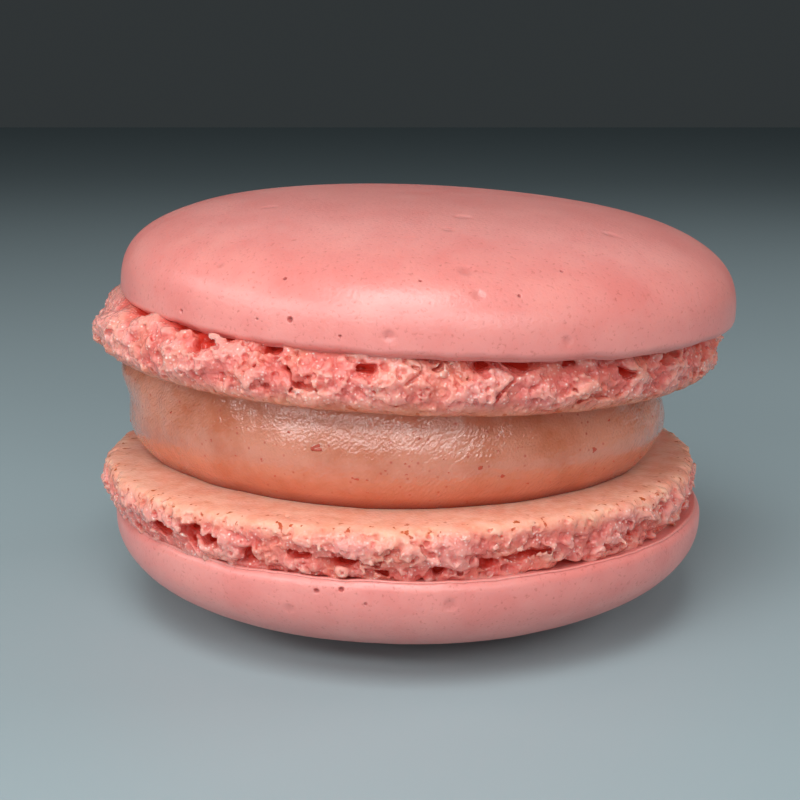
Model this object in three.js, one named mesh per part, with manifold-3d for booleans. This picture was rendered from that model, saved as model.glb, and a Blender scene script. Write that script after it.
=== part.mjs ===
// A french macaron: two domed almond meringue shells with torn, frothy feet, and the buttercream between.
//
// Millimetres, +Z up. The lower shell lies on its crown and the upper one on the buttercream, leaning a
// little to the right. Azimuths are degrees from the front (-Y) towards the right (+X). A shell is shaped
// with its flat base at z = 0 and its cap above; the lower shell is that shape turned over.

import * as THREE from "three";
import { ImprovedNoise } from "three/addons/math/ImprovedNoise.js";
import { mergeVertices } from "three/addons/utils/BufferGeometryUtils.js";
import Module from "manifold-3d";

const { clamp, degToRad, euclideanModulo, lerp, seededRandom, smoothstep } = THREE.MathUtils;

// Driving dimensions

const CREAM_HEIGHT = 6.9; // between the two flat bases, at the middle
const UPPER_LEAN = 2.6; // degrees, right side down
const UPPER_SHIFT = -0.3; // where the middle of each shell's base lies along X
const LOWER_SHIFT = -0.5;
const GAP = 0.3; // between the buttercream and each shell

// foot: widest radius and the share of the height where that is, height up to the crease, and how far the
// base rim and the crease lie inside the widest. cap: radius, how far it sits off the foot's middle, height
// above the crease, the tuck between its widest ring and the crease, how square its dome is in plan and in
// height, and the radius of the flat at its crown. swells: [azimuth, spread, reach] where the foot spills
// out or falls short. ears: the same, where its top climbs beside the cap.
const UPPER = {
  foot: { radius: 21.55, widest: 0.55, height: 3.6, rim: 0.55, crease: 0.9 },
  cap: {
    radius: 21.5,
    offset: 1.5,
    height: 7.65,
    tuck: { height: 0.6, inset: 0.8 },
    square: [2.6, 2.86],
    crown: 2,
  },
  swells: [
    [-92, 40, 0.35],
    [86, 34, 0.5],
    [20, 50, -0.1],
  ],
  ears: [[-84, 22, 0.7]],
  seed: 11,
};
const LOWER = {
  foot: { radius: 20.95, widest: 0.32, height: 3.35, rim: 0.35, crease: 0.75 },
  cap: {
    radius: 21.0,
    offset: 0.5,
    height: 7.5,
    tuck: { height: 0.7, inset: 0.45 },
    square: [2.42, 2.42],
    crown: 4.5,
  },
  swells: [
    [88, 35, -0.05],
    [-10, 45, 0.1],
  ],
  ears: [],
  seed: 47,
};

// How a foot is torn: round lumps and finer crumbs of froth, each with its width, height and how far it
// pushes the wall out, a sideways sway in degrees, and the level above the base where the tearing is full.
const TEAR = {
  lump: { wide: 1.9, tall: 1.5, reach: 1.5 },
  crumb: { wide: 0.8, tall: 0.8, reach: 0.45, lift: 0.25 },
  sway: { wide: 1.3, tall: 1.3, turn: 1.6 },
  level: 0.35,
  full: 0.8,
};

// Torn holes of the feet: azimuth, height above the flat base, then width, height and depth.
const UPPER_HOLES = [
  [-35.5, 3.2, 1.7, 1.1, 1.7],
  [-22.5, 3.2, 2.0, 0.8, 1.6],
  [-16.0, 1.6, 2.6, 0.5, 1.0],
  [-6.5, 2.8, 1.4, 0.8, 1.4],
  [11.8, 3.1, 1.4, 0.8, 1.5],
  [18.5, 3.2, 1.9, 0.6, 1.5],
  [28.5, 3.2, 1.7, 0.6, 1.4],
  [40.5, 2.3, 1.6, 0.8, 1.4],
  [52.0, 3.0, 1.6, 1.0, 1.3],
];
const LOWER_HOLES = [
  [-48.0, 2.0, 2.1, 1.1, 1.2],
  [-35.5, 1.6, 2.9, 1.4, 2.2],
  [-27.0, 2.4, 1.2, 1.2, 1.6],
  [-17.0, 1.9, 1.2, 0.7, 1.2],
  [-9.6, 2.1, 2.5, 0.8, 1.5],
  [-3.5, 2.9, 1.6, 0.6, 1.2],
  [6.8, 2.8, 2.0, 0.8, 1.6],
  [15.8, 2.4, 1.0, 0.7, 1.3],
  [23.0, 2.1, 3.0, 0.6, 1.2],
  [46.0, 1.8, 2.6, 0.9, 1.2],
];

// Round the back the holes follow a rule, each value drawn between two limits.
const BACK_HOLES = {
  from: 60,
  to: 300,
  spacing: [15, 30], // degrees from one hole to the next
  level: [0.5, 0.85], // share of the foot's height
  wide: [1.2, 2.6],
  tall: [0.6, 1.1],
  deep: [1.0, 1.8],
};

const CREAM = {
  radius: 18.8, // at its widest
  lower: 1.7, // how far the lower edge lies inside that
  upper: 1.0, // and the upper edge
  widest: 0.48, // share of the height where it is widest
  depth: 0.955, // front to back, as a share of its width
  shift: [-0.35, 1.0], // off the middle, along X and Y
};
const CREAM_LIP = { azimuth: -94, spread: 34, reach: 1.1, at: 0.78, tall: 0.2 };

// Slow waves of a plan outline: how many round it, how deep and from what angle.
const CREAM_WAVES = [
  [3, 0.22, 0.6],
  [5, 0.14, 2.1],
];
const CAP_WAVES = [
  [2, 0.1, 0.4],
  [3, 0.07, 1.9],
];

// How finely each piece is cut into facets
const CAP_SEGMENTS = 64;
const FOOT_SEGMENTS = 124;
const CREAM_SEGMENTS = 72;
const WALL_RINGS = 8;
const DOME_RINGS = 8;
const CREAM_RINGS = 8;

const COLOURS = { shell: 0xe79a92, cream: 0xd8896b };

const UP = new THREE.Vector3(0, 0, 1);
const noise = new ImprovedNoise();
const wasm = await Module();
wasm.setup();

// A closed solid from a geometry. Faces that have shrunk to a line at a pole are dropped.
function solidOf(geometry) {
  geometry.deleteAttribute("normal");
  geometry.deleteAttribute("uv");
  const merged = mergeVertices(geometry, 1e-3);
  const corners = merged.index.array;
  const kept = [];
  for (let i = 0; i < corners.length; i += 3) {
    const [a, b, c] = corners.slice(i, i + 3);
    if (a !== b && b !== c && c !== a) kept.push(a, b, c);
  }
  const vertProperties = merged.attributes.position.array;
  return new wasm.Manifold(new wasm.Mesh({ numProp: 3, vertProperties, triVerts: new Uint32Array(kept) }));
}

// The geometry of a solid, with its facets shaded flat.
function geometryOf(solid) {
  const made = solid.getMesh();
  const geometry = new THREE.BufferGeometry();
  geometry.setAttribute("position", new THREE.BufferAttribute(made.vertProperties, 3));
  geometry.setIndex(new THREE.BufferAttribute(made.triVerts, 1));
  const flat = geometry.toNonIndexed();
  flat.computeVertexNormals();
  return flat;
}

// Moves every point of a geometry by a function of that point.
function moved(geometry, move) {
  const place = geometry.attributes.position;
  const point = new THREE.Vector3();
  for (let i = 0; i < place.count; i++) {
    move(point.fromBufferAttribute(place, i));
    place.setXYZ(i, point.x, point.y, point.z);
  }
  return geometry;
}

// The solid swept by an outline of [radius, height] about the Z axis, with its points then moved.
function turned(outline, segments, move) {
  const points = outline.map(([radius, height]) => new THREE.Vector2(radius, height));
  return solidOf(moved(new THREE.LatheGeometry(points, segments).rotateX(Math.PI / 2), move));
}

function azimuthOf(point) {
  return Math.atan2(point.x, -point.y);
}

// The sum of the reaches at an azimuth, each full in the middle of its spread and falling smoothly to 0.
function swellAt(azimuth, swells) {
  let sum = 0;
  for (const [middle, spread, reach] of swells) {
    const away = Math.abs(euclideanModulo(azimuth - degToRad(middle) + Math.PI, 2 * Math.PI) - Math.PI);
    sum += reach * (1 - smoothstep(away, 0, degToRad(spread)));
  }
  return sum;
}

function wavesAt(azimuth, waves) {
  return waves.reduce((sum, [count, depth, start]) => sum + depth * Math.sin(count * azimuth + start), 0);
}

function pushOut(point, reach) {
  const radius = Math.hypot(point.x, point.y);
  const share = radius > 0 ? (radius + reach) / radius : 1;
  point.x *= share;
  point.y *= share;
}

// How far inside its widest a bulging wall lies, at a share of its height.
function insetAt(share, widest, lower, upper) {
  const below = share < widest;
  const away = below ? 1 - share / widest : (share - widest) / (1 - widest);
  return (below ? lower : upper) * away ** 2;
}

// The foot: a thick disc whose wall bellies out between the base rim and the crease, torn into lumps.
function footSolid({ foot, swells, ears, seed }) {
  const hidden = foot.height + 1.3; // its top, inside the cap
  const flat = foot.radius - foot.rim - 1.6; // the base is untorn inside this radius
  const outline = [
    [0, 0],
    [flat, 0],
  ];
  for (let ring = 0; ring <= WALL_RINGS; ring++) {
    const share = ring / WALL_RINGS;
    const inset = insetAt(share, foot.widest, foot.rim, foot.crease);
    outline.push([foot.radius - inset, lerp(0.12, foot.height + 0.2, share)]);
  }
  outline.push([foot.radius - foot.crease - 2, hidden], [0, hidden]);

  return turned(outline, FOOT_SEGMENTS, (point) => {
    const { lump, crumb, sway, level, full } = TEAR;
    const azimuth = azimuthOf(point);
    const torn = point.z < hidden ? smoothstep(Math.hypot(point.x, point.y), flat, flat + 1.4) : 0;
    const free = torn * smoothstep(point.z, 0, full);
    const x = Math.sin(azimuth) * foot.radius;
    const y = Math.cos(azimuth) * foot.radius;
    const z = point.z + seed;
    const lumps = Math.abs(noise.noise(x / lump.wide, y / lump.wide, z / lump.tall));
    const crumbs = noise.noise(x / crumb.wide, y / crumb.wide, z / crumb.tall);
    const swaying = noise.noise(y / sway.wide, z / sway.tall, x / sway.wide);
    const froth = lump.reach * lumps + crumb.reach * crumbs - level;
    pushOut(point, torn * swellAt(azimuth, swells) + free * froth);
    point.applyAxisAngle(UP, free * swaying * degToRad(sway.turn));
    point.z += free * crumb.lift * crumbs;
    point.z += torn * swellAt(azimuth, ears) * smoothstep(point.z, foot.height / 2, foot.height);
  });
}

// One hole's size and place for each row of the table, then more round the back by a seeded draw.
function holeRows({ foot, seed }, table) {
  const rows = [...table];
  seededRandom(seed);
  const draw = ([low, high]) => lerp(low, high, seededRandom());
  const { from, to, spacing, level, wide, tall, deep } = BACK_HOLES;
  for (let azimuth = from; azimuth < to; azimuth += draw(spacing)) {
    rows.push([azimuth, draw(level) * foot.height, draw(wide), draw(tall), draw(deep)]);
  }
  return rows;
}

// The holes torn in a foot, as ragged pebbles half sunk in its wall.
function holesSolid(shell, table) {
  const holes = holeRows(shell, table).map(([azimuth, height, wide, tall, deep]) => {
    const turn = degToRad(azimuth);
    const reach = shell.foot.radius + swellAt(turn, shell.swells) - 0.2;
    const pebble = moved(new THREE.OctahedronGeometry(1, 1), (point) => {
      point.multiplyScalar(1 + 0.6 * noise.noise(1.7 * point.x + azimuth, 1.7 * point.y, 1.7 * point.z));
    });
    return solidOf(pebble.scale(wide / 2, deep, tall / 2).translate(0, -reach, height).rotateZ(turn));
  });
  return wasm.Manifold.union(holes);
}

// The smooth cap: its rim is rounded under to the crease and its dome is a superellipse.
function capSolid({ cap, foot }) {
  const { tuck, square } = cap;
  const rim = cap.radius - tuck.inset;
  const outline = [
    [0, foot.height - 1.2],
    [rim - 2, foot.height - 0.3],
    [rim, foot.height],
  ];
  for (const turn of [30, 60].map(degToRad)) {
    outline.push([rim + tuck.inset * Math.sin(turn), foot.height + tuck.height * (1 - Math.cos(turn))]);
  }
  for (let ring = 0; ring < DOME_RINGS; ring++) {
    const turn = (Math.PI / 2) * (ring / DOME_RINGS) ** 1.1;
    const radius = cap.radius * Math.cos(turn) ** (2 / square[0]);
    const height = (cap.height - tuck.height) * Math.sin(turn) ** (2 / square[1]);
    outline.push([radius, foot.height + tuck.height + height]);
  }
  const top = foot.height + cap.height;
  outline.push([cap.crown, top], [0, top]);
  return turned(outline, CAP_SEGMENTS, (point) => {
    const outer = smoothstep(Math.hypot(point.x, point.y), cap.radius / 3, cap.radius);
    pushOut(point, outer * wavesAt(azimuthOf(point), CAP_WAVES));
    point.x += cap.offset;
  });
}

function shellSolid(shell, table) {
  return footSolid(shell).subtract(holesSolid(shell, table)).add(capSolid(shell));
}

// The buttercream: a squeezed round whose top follows the leaning base of the upper shell.
function creamSolid() {
  const outline = [[0, 0]];
  for (let ring = 0; ring <= CREAM_RINGS; ring++) {
    const share = ring / CREAM_RINGS;
    outline.push([CREAM.radius - insetAt(share, CREAM.widest, CREAM.lower, CREAM.upper), share]);
  }
  outline.push([0, 1]);
  return turned(outline, CREAM_SEGMENTS, (point) => {
    const azimuth = azimuthOf(point);
    const share = point.z;
    const edge = clamp(Math.hypot(point.x, point.y) / CREAM.radius, 0, 1);
    const lip = swellAt(azimuth, [[CREAM_LIP.azimuth, CREAM_LIP.spread, CREAM_LIP.reach]]);
    const atLip = Math.exp(-(((share - CREAM_LIP.at) / CREAM_LIP.tall) ** 2));
    pushOut(point, edge * (lip * atLip + wavesAt(azimuth, CREAM_WAVES)));
    point.x += CREAM.shift[0];
    point.y = point.y * CREAM.depth + CREAM.shift[1];
    const top = CREAM_HEIGHT - (point.x - UPPER_SHIFT) * Math.tan(degToRad(UPPER_LEAN)) - GAP;
    point.z = lerp(GAP, top, share);
  });
}

function meshOf(name, solid, colour, roughness) {
  const material = new THREE.MeshStandardMaterial({ color: colour, roughness, metalness: 0 });
  const mesh = new THREE.Mesh(geometryOf(solid), material);
  mesh.name = name;
  return mesh;
}

// Assembly: the flat base of the lower shell is the level that the others are placed from.
const lowerShell = meshOf("lower_shell", shellSolid(LOWER, LOWER_HOLES), COLOURS.shell, 0.55);
lowerShell.position.x = LOWER_SHIFT;
lowerShell.scale.z = -1; // turned over, cap down

const cream = meshOf("buttercream", creamSolid(), COLOURS.cream, 0.35);

const upperShell = meshOf("upper_shell", shellSolid(UPPER, UPPER_HOLES), COLOURS.shell, 0.55);
upperShell.position.set(UPPER_SHIFT, 0, CREAM_HEIGHT);
upperShell.rotation.y = degToRad(UPPER_LEAN);

const stack = new THREE.Group();
stack.add(lowerShell, cream, upperShell);

// The origin is the middle of the whole, on the surface that it lies on.
const macaron = new THREE.Group();
macaron.name = "french_macaron";
macaron.add(stack);
const box = new THREE.Box3().setFromObject(stack, true);
const middle = box.getCenter(new THREE.Vector3());
stack.position.set(-middle.x, -middle.y, -box.min.z);

export default macaron;
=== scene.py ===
"""Looks of a french macaron: two baked almond meringue shells and the buttercream between them.

Lengths are millimetres until a mesh is placed, when they become metres. Azimuths are degrees from the
front (-Y) towards the right (+X). A shell is shaped with its flat base at z = 0 and its cap above, and is
then seated in the stack: the lower one turned over, the upper one leaning.
"""

import logging
import math
from collections.abc import Callable, Mapping, Sequence
from dataclasses import dataclass, field
from enum import Enum
from functools import partial

import bmesh
import bpy
import numpy as np
import openvdb
from mathutils import Matrix, Vector, noise
from mathutils.bvhtree import BVHTree

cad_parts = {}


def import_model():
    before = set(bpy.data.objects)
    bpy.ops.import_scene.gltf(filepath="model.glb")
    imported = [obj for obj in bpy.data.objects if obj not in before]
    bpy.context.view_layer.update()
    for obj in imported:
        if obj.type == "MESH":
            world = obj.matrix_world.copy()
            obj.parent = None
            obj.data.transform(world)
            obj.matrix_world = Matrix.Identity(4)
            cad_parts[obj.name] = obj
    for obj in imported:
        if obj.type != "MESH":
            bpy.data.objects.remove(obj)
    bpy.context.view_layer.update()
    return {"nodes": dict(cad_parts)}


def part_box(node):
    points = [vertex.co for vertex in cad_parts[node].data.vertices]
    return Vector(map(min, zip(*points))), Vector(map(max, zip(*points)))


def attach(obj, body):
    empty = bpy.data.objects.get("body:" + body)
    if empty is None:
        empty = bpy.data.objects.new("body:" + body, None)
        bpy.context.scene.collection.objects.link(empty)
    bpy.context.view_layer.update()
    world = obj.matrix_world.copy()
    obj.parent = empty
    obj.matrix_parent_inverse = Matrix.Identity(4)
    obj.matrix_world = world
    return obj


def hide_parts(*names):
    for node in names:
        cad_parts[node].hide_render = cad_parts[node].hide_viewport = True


log = logging.getLogger("macaron")

MM = 0.001
BODY = "root"
STEPS = 420  # of a whole turn, in what is spun
SEATED = 1e-6  # m, under which a point of the lower shell lies on the table


# ---------------------------------------------------------------- values shared by the pieces


class Slot(Enum):
    """The record's material slots."""

    SHELL = "shell"
    CREAM = "cream"


@dataclass(frozen=True)
class Swell:
    """A stretch of outline that spills out or falls short.

    Args:
        azimuth: Its middle, in degrees.
        spread: Degrees from its middle to where it ends.
        reach: How far it moves the outline, in mm.
    """

    azimuth: float
    spread: float
    reach: float


@dataclass(frozen=True)
class Hole:
    """A torn hole in a foot.

    Args:
        azimuth: Its middle, in degrees.
        level: Its height above the flat base, in mm.
        wide: Its width along the foot, in mm.
        tall: Its height, in mm.
        deep: How far it goes in, in mm.
        tilt: How far it climbs for each mm to the right, in mm.
    """

    azimuth: float
    level: float
    wide: float
    tall: float
    deep: float
    tilt: float = 0.0


@dataclass(frozen=True)
class Dent:
    """A shallow dent or a pin pore in a cap.

    Args:
        x, y, z: Its middle from the middle of the shell's base, in mm, with the shell's cap up.
        wide: Its width, in mm.
        deep: Its depth, in mm.
    """

    x: float
    y: float
    z: float
    wide: float
    deep: float


@dataclass(frozen=True)
class Bulge:
    """A place where the buttercream squeezed out.

    Args:
        swell: Its place and reach round the filling.
        level: Its height as a share of the filling's.
        tall: Its height from middle to end, as a share of the filling's.
    """

    swell: Swell
    level: float
    tall: float


@dataclass(frozen=True)
class Tearing:
    """How a foot's wall is torn, in mm: how wide each kind of lump is, and how far it pushes the wall.

    Args:
        eddy: Width of the swirls that bend every lump.
        plate, plate_reach: Broken plates, with slits between them.
        lump, lump_fold, lump_reach: Lumps on the plates, folded where torn free and rounded all over.
        bead, bead_fold, bead_reach: Beads on the lumps, the same.
        grain, grain_reach: The finest grain.
        stretch: Width of the stretches with and without slits.
        slit: How sharp a slit's edges are, as a share of the plates' swing.
        slit_depth: How far a slit goes in.
        sunk: How far all of that lies inside the wall.
    """

    eddy: float = 1.1
    plate: float = 3.0
    plate_reach: float = 0.19
    lump: float = 1.3
    lump_fold: float = 0.4
    lump_reach: float = 0.17
    bead: float = 0.6
    bead_fold: float = 0.26
    bead_reach: float = 0.14
    grain: float = 0.3
    grain_reach: float = 0.1
    stretch: float = 5.0
    slit: float = 0.045
    slit_depth: float = 0.7
    sunk: float = 0.15


@dataclass(frozen=True)
class FootSizes:
    """Sizes of a foot, the frothy band between the flat base and the cap, in mm.

    Args:
        radius: Of its widest ring.
        widest: The height of that ring, as a share of the foot's.
        height: From the flat base to the cap.
        rim: How far the base's edge lies inside the widest ring.
        crease: How far the ring under the cap lies inside it.
        shoulder: How softly the base turns into the wall.
        gap: The torn gap under the cap, on average.
        gap_swing: How much that gap varies.
        crust: How high the browned crust reaches up the wall.
    """

    radius: float
    widest: float
    height: float
    rim: float
    crease: float
    shoulder: float
    gap: float
    gap_swing: float
    crust: float


@dataclass(frozen=True)
class CapSizes:
    """Sizes of a cap, the smooth dome over the foot, in mm.

    Args:
        radius: Of its widest ring.
        offset: How far it slipped to the right of the foot's axis.
        height: From the foot to the crown.
        tuck_height: From the foot to the widest ring.
        tuck_inset: How far the rim lies inside that ring.
        square_plan, square_height: How boxy the dome is outwards and upwards, 2 being round.
    """

    radius: float
    offset: float
    height: float
    tuck_height: float
    tuck_inset: float
    square_plan: float
    square_height: float


def linear(colour: str) -> tuple[float, float, float, float]:
    """Turns an sRGB hex colour into linear values.

    Args:
        colour: Six hex digits, such as "e89a90".

    Returns:
        Linear red, green, blue and an alpha of 1.
    """
    parts = [int(colour[i : i + 2], 16) / 255 for i in (0, 2, 4)]
    red, green, blue = (v / 12.92 if v <= 0.04045 else ((v + 0.055) / 1.055) ** 2.4 for v in parts)
    return (red, green, blue, 1.0)


def smooth_step(value: np.ndarray | float, low: float, high: float) -> np.ndarray:
    """Rises smoothly from 0 at low to 1 at high."""
    share = np.clip((value - low) / (high - low), 0, 1)
    return share * share * (3 - 2 * share)


def smooth_max(a: np.ndarray, b: np.ndarray, blend: float) -> np.ndarray:
    """The larger of two fields, rounded over a distance of blend where they meet."""
    share = np.clip(0.5 + 0.5 * (a - b) / blend, 0, 1)
    return b + (a - b) * share + blend * share * (1 - share)


def smooth_min(a: np.ndarray, b: np.ndarray, blend: float) -> np.ndarray:
    """The smaller of two fields, rounded over a distance of blend where they meet."""
    return -smooth_max(-a, -b, blend)


def turned(azimuth: np.ndarray, middle: float) -> np.ndarray:
    """How far azimuths in radians lie from a middle in degrees, in radians from -pi to pi."""
    return (azimuth - math.radians(middle) + math.pi) % (2 * math.pi) - math.pi


def swell_at(azimuth: np.ndarray, swells: tuple[Swell, ...]) -> np.ndarray:
    """Adds up the swells at each azimuth.

    Args:
        azimuth: Azimuths in radians.
        swells: The swells of one outline.

    Returns:
        How far the outline moves out at each azimuth, in mm.
    """
    total = np.zeros_like(azimuth)
    for swell in swells:
        away = np.abs(turned(azimuth, swell.azimuth))
        total += swell.reach * (1 - smooth_step(away, 0, math.radians(swell.spread)))
    return total


def waves_at(azimuth: float, waves: tuple[tuple[int, float, float], ...]) -> float:
    """Adds up slow waves round an outline, each given by their number, their reach in mm and their start."""
    return sum(reach * math.sin(number * azimuth + start) for number, reach, start in waves)


def ripples_at(spot: Vector, ripples: tuple[tuple[float, float], ...]) -> float:
    """Adds up layers of noise at a point, each given by its reach and its width in mm."""
    return sum(reach * noise.noise(spot / width) for reach, width in ripples)


class GradientNoise:
    """Smooth noise over whole arrays of points, from seeded random gradients."""

    def __init__(self, seed: int) -> None:
        """Draws the gradients and the shuffle.

        Args:
            seed: Sets which noise it is.
        """
        rng = np.random.default_rng(seed)
        slopes = rng.normal(size=(256, 3)).astype(np.float32)
        self.slopes = slopes / np.linalg.norm(slopes, axis=1, keepdims=True)
        self.shuffle = rng.permutation(256).astype(np.int32)

    def at(self, x: np.ndarray, y: np.ndarray, z: np.ndarray, size: float) -> np.ndarray:
        """Samples the noise.

        Args:
            x, y, z: The points' coordinates, in mm.
            size: Width of a bump and its dip together, in mm.

        Returns:
            About -0.8 to 0.8 at each point.
        """
        parts = np.broadcast_arrays(x / size, y / size, z / size)
        floors = [np.floor(part).astype(np.int32) for part in parts]
        near = [(part - floor).astype(np.float32) for part, floor in zip(parts, floors)]
        fades = [part * part * part * (part * (part * 6 - 15) + 10) for part in near]
        total = np.zeros(parts[0].shape, np.float32)
        for dx in (0, 1):
            along_x = self.shuffle[(floors[0] + dx) & 255]
            weight_x = fades[0] if dx else 1 - fades[0]
            for dy in (0, 1):
                along_y = self.shuffle[(along_x + floors[1] + dy) & 255]
                weight_y = weight_x * (fades[1] if dy else 1 - fades[1])
                for dz in (0, 1):
                    slope = self.slopes[self.shuffle[(along_y + floors[2] + dz) & 255]]
                    rise = slope[..., 0] * (near[0] - dx)
                    rise += slope[..., 1] * (near[1] - dy)
                    rise += slope[..., 2] * (near[2] - dz)
                    total += rise * weight_y * (fades[2] if dz else 1 - fades[2])
        return total * 1.5


# ---------------------------------------------------------------- meshes


def new_piece(name: str, mesh: bpy.types.Mesh, finish: bpy.types.Material) -> bpy.types.Object:
    """Makes a piece of the macaron from a finished mesh.

    Args:
        name: The piece's name.
        mesh: Its mesh, in metres, in the row frame.
        finish: Its material.

    Returns:
        The piece, riding on the macaron's body.
    """
    piece = bpy.data.objects.new(name, mesh)
    bpy.context.scene.collection.objects.link(piece)
    mesh.materials.append(finish)
    mesh.shade_smooth()
    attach(piece, BODY)
    log.info("%s: %d triangles", name, sum(len(face.vertices) - 2 for face in mesh.polygons))
    return piece


def mesh_from(shape: bmesh.types.BMesh, name: str, place: Matrix) -> bpy.types.Mesh:
    """Finishes a bmesh: places it, points its faces outwards and turns it into a mesh.

    Args:
        shape: The shape, in mm, which is freed.
        name: The mesh's name.
        place: Where it goes in the row frame, in metres.

    Returns:
        The mesh.
    """
    bmesh.ops.transform(shape, matrix=place, verts=shape.verts)
    bmesh.ops.recalc_face_normals(shape, faces=shape.faces)
    mesh = bpy.data.meshes.new(name)
    shape.to_mesh(mesh)
    shape.free()
    return mesh


def spun(outline: list[tuple[float, float]], steps: int) -> bmesh.types.BMesh:
    """Spins an outline about the Z axis into a closed shape.

    Args:
        outline: [radius, height] points, the first and last on the axis.
        steps: How many steps a whole turn has.

    Returns:
        The closed shape.
    """
    shape = bmesh.new()
    points = [shape.verts.new((radius, 0, height)) for radius, height in outline]
    edges = [shape.edges.new(pair) for pair in zip(points, points[1:])]
    bmesh.ops.spin(
        shape,
        geom=points + edges,
        axis=(0, 0, 1),
        cent=(0, 0, 0),
        angle=2 * math.pi,
        steps=steps,
        use_merge=True,
    )
    bmesh.ops.remove_doubles(shape, verts=shape.verts, dist=1e-4)
    return shape


class Lattice:
    """A block of space sampled on a cubic lattice. Its values are under 0 inside the solid."""

    def __init__(self, low: Vector, high: Vector, cell: float) -> None:
        """Lays out the lattice, empty.

        Args:
            low, high: Its corners, in mm.
            cell: The distance between samples, in mm.
        """
        self.cell = cell
        self.low = np.array(low)
        self.axes = [np.arange(a, b + cell, cell, dtype=np.float32) for a, b in zip(low, high)]
        self.values = np.ones([len(axis) for axis in self.axes], np.float32)

    def window(self, centre: np.ndarray, reach: float) -> tuple[np.ndarray, np.ndarray]:
        """Finds the samples round a point.

        Args:
            centre: The point, in mm.
            reach: How far to look, in mm.

        Returns:
            A view of the values there, and each one's distance to the point.
        """
        first = np.maximum(np.floor((centre - reach - self.low) / self.cell).astype(int), 0)
        last = np.ceil((centre + reach - self.low) / self.cell).astype(int) + 1
        cut = tuple(slice(a, b) for a, b in zip(first, last))
        gaps = [axis[part] - middle for axis, part, middle in zip(self.axes, cut, centre)]
        squares = gaps[0][:, None, None] ** 2 + gaps[1][None, :, None] ** 2 + gaps[2][None, None, :] ** 2
        return self.values[cut], np.sqrt(squares)

    def carve(self, centre: np.ndarray, radius: float) -> None:
        """Takes a round bubble out of the solid."""
        values, away = self.window(centre, radius + 2 * self.cell)
        np.maximum(values, radius - away, out=values)

    def heap(self, centre: np.ndarray, radius: float) -> None:
        """Adds a round crumb to the solid."""
        values, away = self.window(centre, radius + 2 * self.cell)
        np.minimum(values, away - radius, out=values)

    def read(self, points: np.ndarray) -> np.ndarray:
        """The value at the sample nearest to each point.

        Args:
            points: Points of shape (..., 3), in mm.

        Returns:
            The values, of shape (...).
        """
        spots = np.rint((points - self.low) / self.cell).astype(int)
        spots = np.clip(spots, 0, np.array(self.values.shape) - 1)
        return self.values[spots[..., 0], spots[..., 1], spots[..., 2]]

    def surface(self, adaptivity: float) -> tuple[np.ndarray, list]:
        """Meshes where the values cross 0.

        Args:
            adaptivity: From 0, all faces kept, to 1, flat stretches joined.

        Returns:
            The points, in mm, and the faces, pointing outwards.
        """
        grid = openvdb.FloatGrid(background=1.0)
        grid.copyFromArray(self.values)
        points, triangles, quads = grid.convertToPolygons(isovalue=0.0, adaptivity=adaptivity)
        faces = [*triangles.tolist(), *quads.tolist()]
        return points * self.cell + self.low, faces


# ---------------------------------------------------------------- finishes

AddNode = Callable[..., bpy.types.Node]  # add_node with its tree filled in


def add_node(
    tree: bpy.types.NodeTree,
    kind: str,
    inputs: Sequence[object] | Mapping[str | int, object] = (),
    **settings: object,
) -> bpy.types.Node:
    """Adds a node with its settings and what goes into it.

    Args:
        tree: The material's nodes.
        kind: The node's type, without "ShaderNode".
        inputs: What goes into its sockets, in their order or by name or number: a value, a hex colour or
            an output to link. A node stands for its first output.
        **settings: Its own settings. "stops" are a ramp's pairs of position and hex colour or grey.

    Returns:
        The node.
    """
    node = tree.nodes.new("ShaderNode" + kind)
    for name, value in settings.items():
        if name == "stops":
            band = node.color_ramp.elements
            while len(band) < len(value):
                band.new(0.5)
            for element, (position, shade) in zip(band, value):
                element.position = position
                element.color = linear(shade) if isinstance(shade, str) else (shade, shade, shade, 1)
        else:
            setattr(node, name, value)
    for name, value in inputs.items() if isinstance(inputs, Mapping) else enumerate(inputs):
        source = value.outputs[0] if isinstance(value, bpy.types.Node) else value
        if isinstance(source, bpy.types.NodeSocket):
            tree.links.new(source, node.inputs[name])
        else:
            node.inputs[name].default_value = linear(source) if isinstance(source, str) else source
    return node


def per_mm(size: float) -> float:
    """The scale at which a pattern on Object coordinates repeats about every size mm."""
    return 1 / (size * MM)


@dataclass(frozen=True)
class Finish:
    """What a material of one Principled shader is made from.

    Args:
        name: The material's name.
    """

    name: str

    def values(self) -> dict[str, object]:
        """What the shader's inputs hold, by name."""
        return {}

    def pattern(self, add: AddNode) -> dict[str, object]:
        """What drives the shader's inputs, by name, given what adds a node. A plain finish has nothing."""
        return {}

    def make(self) -> bpy.types.Material:
        """Builds the material.

        Returns:
            The material.
        """
        material = bpy.data.materials.new(self.name)
        material.use_nodes = True
        tree = material.node_tree
        tree.nodes.clear()
        inputs = {**self.values(), **self.pattern(partial(add_node, tree))}
        add_node(tree, "OutputMaterial", {"Surface": add_node(tree, "BsdfPrincipled", inputs)})
        return material


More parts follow.
